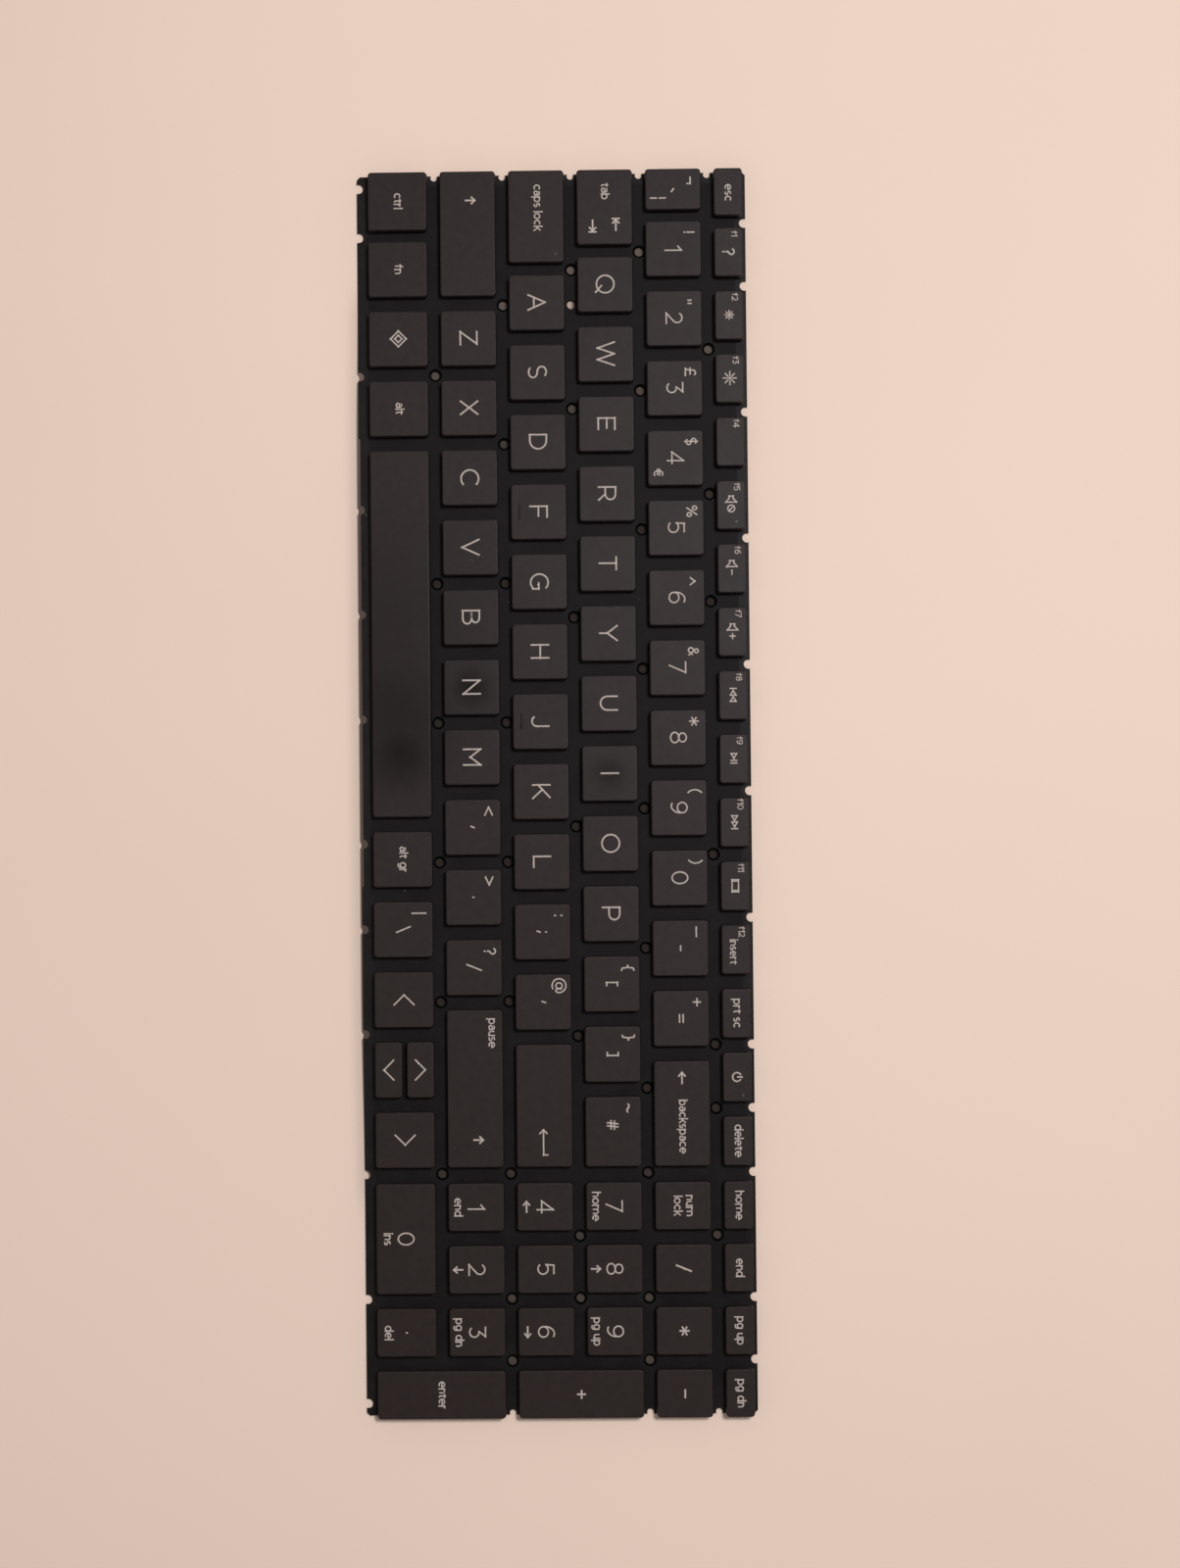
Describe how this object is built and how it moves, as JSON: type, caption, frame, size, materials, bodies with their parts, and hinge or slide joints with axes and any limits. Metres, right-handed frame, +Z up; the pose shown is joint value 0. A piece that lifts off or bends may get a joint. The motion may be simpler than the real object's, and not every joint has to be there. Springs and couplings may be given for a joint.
{
  "type": "laptop keyboard",
  "caption": "Slim full-size laptop keyboard module: dark flat-topped chiclet keys on scissor links over a thin plate with post holes and edge notches.",
  "frame": {"origin": "under the middle of the base plate, on the surface it lies on", "axes": "+X along the key rows from left to right, +Y from the space bar to the function row, +Z up out of the key tops"},
  "size_m": [0.3332, 0.1044, 0.0047],
  "materials": {
    "keycap": "fine matte moulded plastic",
    "plate": "black coated steel sheet",
    "membrane": "black film, satin",
    "dome": "dark silicone rubber",
    "link": "dark grey moulded plastic",
    "wire": "drawn wire"
  },
  "bodies": {
    "base": {"base_plate": "plate", "membrane_sheet": "membrane", "rubber_domes": "dome", "scissor_outer_links": "link", "scissor_inner_links": "link", "stabiliser_bars": "wire", "function_row_keys": "keycap", "number_pad_keys": "keycap", "edge_keys": "keycap"},
    "key_1": {"key_1": "keycap"},
    "key_2": {"key_2": "keycap"},
    "key_3": {"key_3": "keycap"},
    "key_4": {"key_4": "keycap"},
    "key_5": {"key_5": "keycap"},
    "key_6": {"key_6": "keycap"},
    "key_7": {"key_7": "keycap"},
    "key_8": {"key_8": "keycap"},
    "key_9": {"key_9": "keycap"},
    "key_0": {"key_0": "keycap"},
    "key_q": {"key_q": "keycap"},
    "key_w": {"key_w": "keycap"},
    "key_e": {"key_e": "keycap"},
    "key_r": {"key_r": "keycap"},
    "key_t": {"key_t": "keycap"},
    "key_y": {"key_y": "keycap"},
    "key_u": {"key_u": "keycap"},
    "key_i": {"key_i": "keycap"},
    "key_o": {"key_o": "keycap"},
    "key_p": {"key_p": "keycap"},
    "key_a": {"key_a": "keycap"},
    "key_s": {"key_s": "keycap"},
    "key_d": {"key_d": "keycap"},
    "key_f": {"key_f": "keycap"},
    "key_g": {"key_g": "keycap"},
    "key_h": {"key_h": "keycap"},
    "key_j": {"key_j": "keycap"},
    "key_k": {"key_k": "keycap"},
    "key_l": {"key_l": "keycap"},
    "key_z": {"key_z": "keycap"},
    "key_x": {"key_x": "keycap"},
    "key_c": {"key_c": "keycap"},
    "key_v": {"key_v": "keycap"},
    "key_b": {"key_b": "keycap"},
    "key_n": {"key_n": "keycap"},
    "key_m": {"key_m": "keycap"},
    "key_minus": {"key_minus": "keycap"},
    "key_equals": {"key_equals": "keycap"},
    "key_left_bracket": {"key_left_bracket": "keycap"},
    "key_right_bracket": {"key_right_bracket": "keycap"},
    "key_hash": {"key_hash": "keycap"},
    "key_semicolon": {"key_semicolon": "keycap"},
    "key_quote": {"key_quote": "keycap"},
    "key_comma": {"key_comma": "keycap"},
    "key_period": {"key_period": "keycap"},
    "key_slash": {"key_slash": "keycap"},
    "key_backslash": {"key_backslash": "keycap"},
    "key_space": {"key_space": "keycap"},
    "key_tab": {"key_tab": "keycap"},
    "key_enter": {"key_enter": "keycap"},
    "key_backspace": {"key_backspace": "keycap"}
  },
  "joints": [
    {"name": "key_1_press", "type": "slide", "parent": "base", "child": "key_1", "axis": [0, 0, -1], "range_m": [0, 0.0015], "stiffness_N_per_m": 250, "springref_m": -0.0006, "deforming": ["rubber_domes", "scissor_outer_links", "scissor_inner_links"]},
    {"name": "key_2_press", "type": "slide", "parent": "base", "child": "key_2", "axis": [0, 0, -1], "range_m": [0, 0.0015], "stiffness_N_per_m": 250, "springref_m": -0.0006, "deforming": ["rubber_domes", "scissor_outer_links", "scissor_inner_links"]},
    {"name": "key_3_press", "type": "slide", "parent": "base", "child": "key_3", "axis": [0, 0, -1], "range_m": [0, 0.0015], "stiffness_N_per_m": 250, "springref_m": -0.0006, "deforming": ["rubber_domes", "scissor_outer_links", "scissor_inner_links"]},
    {"name": "key_4_press", "type": "slide", "parent": "base", "child": "key_4", "axis": [0, 0, -1], "range_m": [0, 0.0015], "stiffness_N_per_m": 250, "springref_m": -0.0006, "deforming": ["rubber_domes", "scissor_outer_links", "scissor_inner_links"]},
    {"name": "key_5_press", "type": "slide", "parent": "base", "child": "key_5", "axis": [0, 0, -1], "range_m": [0, 0.0015], "stiffness_N_per_m": 250, "springref_m": -0.0006, "deforming": ["rubber_domes", "scissor_outer_links", "scissor_inner_links"]},
    {"name": "key_6_press", "type": "slide", "parent": "base", "child": "key_6", "axis": [0, 0, -1], "range_m": [0, 0.0015], "stiffness_N_per_m": 250, "springref_m": -0.0006, "deforming": ["rubber_domes", "scissor_outer_links", "scissor_inner_links"]},
    {"name": "key_7_press", "type": "slide", "parent": "base", "child": "key_7", "axis": [0, 0, -1], "range_m": [0, 0.0015], "stiffness_N_per_m": 250, "springref_m": -0.0006, "deforming": ["rubber_domes", "scissor_outer_links", "scissor_inner_links"]},
    {"name": "key_8_press", "type": "slide", "parent": "base", "child": "key_8", "axis": [0, 0, -1], "range_m": [0, 0.0015], "stiffness_N_per_m": 250, "springref_m": -0.0006, "deforming": ["rubber_domes", "scissor_outer_links", "scissor_inner_links"]},
    {"name": "key_9_press", "type": "slide", "parent": "base", "child": "key_9", "axis": [0, 0, -1], "range_m": [0, 0.0015], "stiffness_N_per_m": 250, "springref_m": -0.0006, "deforming": ["rubber_domes", "scissor_outer_links", "scissor_inner_links"]},
    {"name": "key_0_press", "type": "slide", "parent": "base", "child": "key_0", "axis": [0, 0, -1], "range_m": [0, 0.0015], "stiffness_N_per_m": 250, "springref_m": -0.0006, "deforming": ["rubber_domes", "scissor_outer_links", "scissor_inner_links"]},
    {"name": "key_q_press", "type": "slide", "parent": "base", "child": "key_q", "axis": [0, 0, -1], "range_m": [0, 0.0015], "stiffness_N_per_m": 250, "springref_m": -0.0006, "deforming": ["rubber_domes", "scissor_outer_links", "scissor_inner_links"]},
    {"name": "key_w_press", "type": "slide", "parent": "base", "child": "key_w", "axis": [0, 0, -1], "range_m": [0, 0.0015], "stiffness_N_per_m": 250, "springref_m": -0.0006, "deforming": ["rubber_domes", "scissor_outer_links", "scissor_inner_links"]},
    {"name": "key_e_press", "type": "slide", "parent": "base", "child": "key_e", "axis": [0, 0, -1], "range_m": [0, 0.0015], "stiffness_N_per_m": 250, "springref_m": -0.0006, "deforming": ["rubber_domes", "scissor_outer_links", "scissor_inner_links"]},
    {"name": "key_r_press", "type": "slide", "parent": "base", "child": "key_r", "axis": [0, 0, -1], "range_m": [0, 0.0015], "stiffness_N_per_m": 250, "springref_m": -0.0006, "deforming": ["rubber_domes", "scissor_outer_links", "scissor_inner_links"]},
    {"name": "key_t_press", "type": "slide", "parent": "base", "child": "key_t", "axis": [0, 0, -1], "range_m": [0, 0.0015], "stiffness_N_per_m": 250, "springref_m": -0.0006, "deforming": ["rubber_domes", "scissor_outer_links", "scissor_inner_links"]},
    {"name": "key_y_press", "type": "slide", "parent": "base", "child": "key_y", "axis": [0, 0, -1], "range_m": [0, 0.0015], "stiffness_N_per_m": 250, "springref_m": -0.0006, "deforming": ["rubber_domes", "scissor_outer_links", "scissor_inner_links"]},
    {"name": "key_u_press", "type": "slide", "parent": "base", "child": "key_u", "axis": [0, 0, -1], "range_m": [0, 0.0015], "stiffness_N_per_m": 250, "springref_m": -0.0006, "deforming": ["rubber_domes", "scissor_outer_links", "scissor_inner_links"]},
    {"name": "key_i_press", "type": "slide", "parent": "base", "child": "key_i", "axis": [0, 0, -1], "range_m": [0, 0.0015], "stiffness_N_per_m": 250, "springref_m": -0.0006, "deforming": ["rubber_domes", "scissor_outer_links", "scissor_inner_links"]},
    {"name": "key_o_press", "type": "slide", "parent": "base", "child": "key_o", "axis": [0, 0, -1], "range_m": [0, 0.0015], "stiffness_N_per_m": 250, "springref_m": -0.0006, "deforming": ["rubber_domes", "scissor_outer_links", "scissor_inner_links"]},
    {"name": "key_p_press", "type": "slide", "parent": "base", "child": "key_p", "axis": [0, 0, -1], "range_m": [0, 0.0015], "stiffness_N_per_m": 250, "springref_m": -0.0006, "deforming": ["rubber_domes", "scissor_outer_links", "scissor_inner_links"]},
    {"name": "key_a_press", "type": "slide", "parent": "base", "child": "key_a", "axis": [0, 0, -1], "range_m": [0, 0.0015], "stiffness_N_per_m": 250, "springref_m": -0.0006, "deforming": ["rubber_domes", "scissor_outer_links", "scissor_inner_links"]},
    {"name": "key_s_press", "type": "slide", "parent": "base", "child": "key_s", "axis": [0, 0, -1], "range_m": [0, 0.0015], "stiffness_N_per_m": 250, "springref_m": -0.0006, "deforming": ["rubber_domes", "scissor_outer_links", "scissor_inner_links"]},
    {"name": "key_d_press", "type": "slide", "parent": "base", "child": "key_d", "axis": [0, 0, -1], "range_m": [0, 0.0015], "stiffness_N_per_m": 250, "springref_m": -0.0006, "deforming": ["rubber_domes", "scissor_outer_links", "scissor_inner_links"]},
    {"name": "key_f_press", "type": "slide", "parent": "base", "child": "key_f", "axis": [0, 0, -1], "range_m": [0, 0.0015], "stiffness_N_per_m": 250, "springref_m": -0.0006, "deforming": ["rubber_domes", "scissor_outer_links", "scissor_inner_links"]},
    {"name": "key_g_press", "type": "slide", "parent": "base", "child": "key_g", "axis": [0, 0, -1], "range_m": [0, 0.0015], "stiffness_N_per_m": 250, "springref_m": -0.0006, "deforming": ["rubber_domes", "scissor_outer_links", "scissor_inner_links"]},
    {"name": "key_h_press", "type": "slide", "parent": "base", "child": "key_h", "axis": [0, 0, -1], "range_m": [0, 0.0015], "stiffness_N_per_m": 250, "springref_m": -0.0006, "deforming": ["rubber_domes", "scissor_outer_links", "scissor_inner_links"]},
    {"name": "key_j_press", "type": "slide", "parent": "base", "child": "key_j", "axis": [0, 0, -1], "range_m": [0, 0.0015], "stiffness_N_per_m": 250, "springref_m": -0.0006, "deforming": ["rubber_domes", "scissor_outer_links", "scissor_inner_links"]},
    {"name": "key_k_press", "type": "slide", "parent": "base", "child": "key_k", "axis": [0, 0, -1], "range_m": [0, 0.0015], "stiffness_N_per_m": 250, "springref_m": -0.0006, "deforming": ["rubber_domes", "scissor_outer_links", "scissor_inner_links"]},
    {"name": "key_l_press", "type": "slide", "parent": "base", "child": "key_l", "axis": [0, 0, -1], "range_m": [0, 0.0015], "stiffness_N_per_m": 250, "springref_m": -0.0006, "deforming": ["rubber_domes", "scissor_outer_links", "scissor_inner_links"]},
    {"name": "key_z_press", "type": "slide", "parent": "base", "child": "key_z", "axis": [0, 0, -1], "range_m": [0, 0.0015], "stiffness_N_per_m": 250, "springref_m": -0.0006, "deforming": ["rubber_domes", "scissor_outer_links", "scissor_inner_links"]},
    {"name": "key_x_press", "type": "slide", "parent": "base", "child": "key_x", "axis": [0, 0, -1], "range_m": [0, 0.0015], "stiffness_N_per_m": 250, "springref_m": -0.0006, "deforming": ["rubber_domes", "scissor_outer_links", "scissor_inner_links"]},
    {"name": "key_c_press", "type": "slide", "parent": "base", "child": "key_c", "axis": [0, 0, -1], "range_m": [0, 0.0015], "stiffness_N_per_m": 250, "springref_m": -0.0006, "deforming": ["rubber_domes", "scissor_outer_links", "scissor_inner_links"]},
    {"name": "key_v_press", "type": "slide", "parent": "base", "child": "key_v", "axis": [0, 0, -1], "range_m": [0, 0.0015], "stiffness_N_per_m": 250, "springref_m": -0.0006, "deforming": ["rubber_domes", "scissor_outer_links", "scissor_inner_links"]},
    {"name": "key_b_press", "type": "slide", "parent": "base", "child": "key_b", "axis": [0, 0, -1], "range_m": [0, 0.0015], "stiffness_N_per_m": 250, "springref_m": -0.0006, "deforming": ["rubber_domes", "scissor_outer_links", "scissor_inner_links"]},
    {"name": "key_n_press", "type": "slide", "parent": "base", "child": "key_n", "axis": [0, 0, -1], "range_m": [0, 0.0015], "stiffness_N_per_m": 250, "springref_m": -0.0006, "deforming": ["rubber_domes", "scissor_outer_links", "scissor_inner_links"]},
    {"name": "key_m_press", "type": "slide", "parent": "base", "child": "key_m", "axis": [0, 0, -1], "range_m": [0, 0.0015], "stiffness_N_per_m": 250, "springref_m": -0.0006, "deforming": ["rubber_domes", "scissor_outer_links", "scissor_inner_links"]},
    {"name": "key_minus_press", "type": "slide", "parent": "base", "child": "key_minus", "axis": [0, 0, -1], "range_m": [0, 0.0015], "stiffness_N_per_m": 250, "springref_m": -0.0006, "deforming": ["rubber_domes", "scissor_outer_links", "scissor_inner_links"]},
    {"name": "key_equals_press", "type": "slide", "parent": "base", "child": "key_equals", "axis": [0, 0, -1], "range_m": [0, 0.0015], "stiffness_N_per_m": 250, "springref_m": -0.0006, "deforming": ["rubber_domes", "scissor_outer_links", "scissor_inner_links"]},
    {"name": "key_left_bracket_press", "type": "slide", "parent": "base", "child": "key_left_bracket", "axis": [0, 0, -1], "range_m": [0, 0.0015], "stiffness_N_per_m": 250, "springref_m": -0.0006, "deforming": ["rubber_domes", "scissor_outer_links", "scissor_inner_links"]},
    {"name": "key_right_bracket_press", "type": "slide", "parent": "base", "child": "key_right_bracket", "axis": [0, 0, -1], "range_m": [0, 0.0015], "stiffness_N_per_m": 250, "springref_m": -0.0006, "deforming": ["rubber_domes", "scissor_outer_links", "scissor_inner_links"]},
    {"name": "key_hash_press", "type": "slide", "parent": "base", "child": "key_hash", "axis": [0, 0, -1], "range_m": [0, 0.0015], "stiffness_N_per_m": 250, "springref_m": -0.0006, "deforming": ["rubber_domes", "scissor_outer_links", "scissor_inner_links"]},
    {"name": "key_semicolon_press", "type": "slide", "parent": "base", "child": "key_semicolon", "axis": [0, 0, -1], "range_m": [0, 0.0015], "stiffness_N_per_m": 250, "springref_m": -0.0006, "deforming": ["rubber_domes", "scissor_outer_links", "scissor_inner_links"]},
    {"name": "key_quote_press", "type": "slide", "parent": "base", "child": "key_quote", "axis": [0, 0, -1], "range_m": [0, 0.0015], "stiffness_N_per_m": 250, "springref_m": -0.0006, "deforming": ["rubber_domes", "scissor_outer_links", "scissor_inner_links"]},
    {"name": "key_comma_press", "type": "slide", "parent": "base", "child": "key_comma", "axis": [0, 0, -1], "range_m": [0, 0.0015], "stiffness_N_per_m": 250, "springref_m": -0.0006, "deforming": ["rubber_domes", "scissor_outer_links", "scissor_inner_links"]},
    {"name": "key_period_press", "type": "slide", "parent": "base", "child": "key_period", "axis": [0, 0, -1], "range_m": [0, 0.0015], "stiffness_N_per_m": 250, "springref_m": -0.0006, "deforming": ["rubber_domes", "scissor_outer_links", "scissor_inner_links"]},
    {"name": "key_slash_press", "type": "slide", "parent": "base", "child": "key_slash", "axis": [0, 0, -1], "range_m": [0, 0.0015], "stiffness_N_per_m": 250, "springref_m": -0.0006, "deforming": ["rubber_domes", "scissor_outer_links", "scissor_inner_links"]},
    {"name": "key_backslash_press", "type": "slide", "parent": "base", "child": "key_backslash", "axis": [0, 0, -1], "range_m": [0, 0.0015], "stiffness_N_per_m": 250, "springref_m": -0.0006, "deforming": ["rubber_domes", "scissor_outer_links", "scissor_inner_links"]},
    {"name": "key_space_press", "type": "slide", "parent": "base", "child": "key_space", "axis": [0, 0, -1], "range_m": [0, 0.0015], "stiffness_N_per_m": 250, "springref_m": -0.0006, "deforming": ["rubber_domes", "scissor_outer_links", "scissor_inner_links", "stabiliser_bars"]},
    {"name": "key_tab_press", "type": "slide", "parent": "base", "child": "key_tab", "axis": [0, 0, -1], "range_m": [0, 0.0015], "stiffness_N_per_m": 250, "springref_m": -0.0006, "deforming": ["rubber_domes", "scissor_outer_links", "scissor_inner_links"]},
    {"name": "key_enter_press", "type": "slide", "parent": "base", "child": "key_enter", "axis": [0, 0, -1], "range_m": [0, 0.0015], "stiffness_N_per_m": 250, "springref_m": -0.0006, "deforming": ["rubber_domes", "scissor_outer_links", "scissor_inner_links", "stabiliser_bars"]},
    {"name": "key_backspace_press", "type": "slide", "parent": "base", "child": "key_backspace", "axis": [0, 0, -1], "range_m": [0, 0.0015], "stiffness_N_per_m": 250, "springref_m": -0.0006, "deforming": ["rubber_domes", "scissor_outer_links", "scissor_inner_links", "stabiliser_bars"]}
  ]
}
